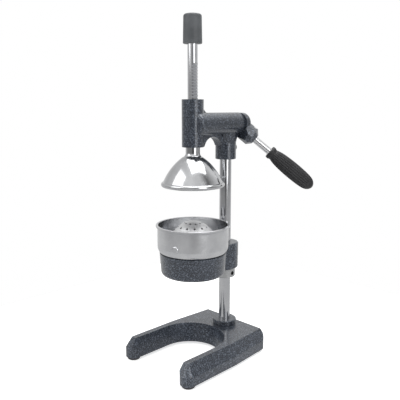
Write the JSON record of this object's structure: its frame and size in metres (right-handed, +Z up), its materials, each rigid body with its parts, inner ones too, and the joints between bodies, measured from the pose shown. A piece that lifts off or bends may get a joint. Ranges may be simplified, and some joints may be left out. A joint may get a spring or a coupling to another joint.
{
  "type": "citrus press juicer",
  "caption": "Column-mounted manual citrus press: a rack-driven bell comes down on a strainer in a round bowl above a U-shaped base; side lever with ribbed grip.",
  "frame": {"origin": "on the column's axis, on the surface that the feet stand on", "axes": "+Z up along the column, -Y towards the bowl and the open end of the base, +X to the side where the lever hangs"},
  "size_m": [0.1916, 0.2745, 0.56],
  "materials": {
    "hammertone_iron": "hammertone enamel",
    "chrome": "polished chrome plate",
    "polished_steel": "polished stainless",
    "brushed_steel": "brushed stainless",
    "zinc_steel": "bright zinc plate",
    "black_steel": "black oxide",
    "bronze": "sintered",
    "rubber": "moulded",
    "black_plastic": "ribbed moulding"
  },
  "bodies": {
    "frame": {"base_casting": "hammertone_iron", "rubber_feet": "rubber", "column": "chrome", "column_bolt": "zinc_steel", "column_washer": "zinc_steel", "foot_ring_lower": "hammertone_iron", "foot_ring_upper": "hammertone_iron", "head_casting": "hammertone_iron", "head_clamp_screw": "black_steel", "lower_guide_bush": "bronze", "upper_guide_bush": "bronze", "front_shaft_bush": "bronze", "rear_shaft_bush": "bronze", "bowl_bracket": "hammertone_iron", "bracket_set_screw": "black_steel", "stop_collar": "brushed_steel", "collar_set_screw": "black_steel"},
    "plunger": {"rack_rod": "chrome", "top_cap": "rubber", "press_bell": "polished_steel", "bell_screw": "black_steel"},
    "lever": {"drive_shaft": "zinc_steel", "drive_pinion": "zinc_steel", "lever_hub": "hammertone_iron", "hub_set_screw": "black_steel", "hub_washer": "zinc_steel", "hub_screw": "black_steel", "lever_rod": "chrome", "lever_grip": "black_plastic"},
    "bowl_set": {"bowl": "brushed_steel", "bowl_rivet": "brushed_steel", "strainer": "brushed_steel"}
  },
  "joints": [
    {"name": "lever_turn", "type": "hinge", "parent": "frame", "child": "lever", "pos_m": [0.0141, 0, 0.392], "axis": [0, -1, 0], "range_deg": [0, 520]},
    {"name": "rod_slide", "type": "slide", "parent": "frame", "child": "plunger", "axis": [0, 0, -1], "range_m": [0, 0.082]},
    {"name": "bowl_lift", "type": "slide", "parent": "frame", "child": "bowl_set", "axis": [0, 0, 1], "range_m": [0, 0.007]}
  ],
  "couplings": [
    {"joint": "rod_slide", "follows": "lever_turn", "m_per_rad": 0.009}
  ]
}
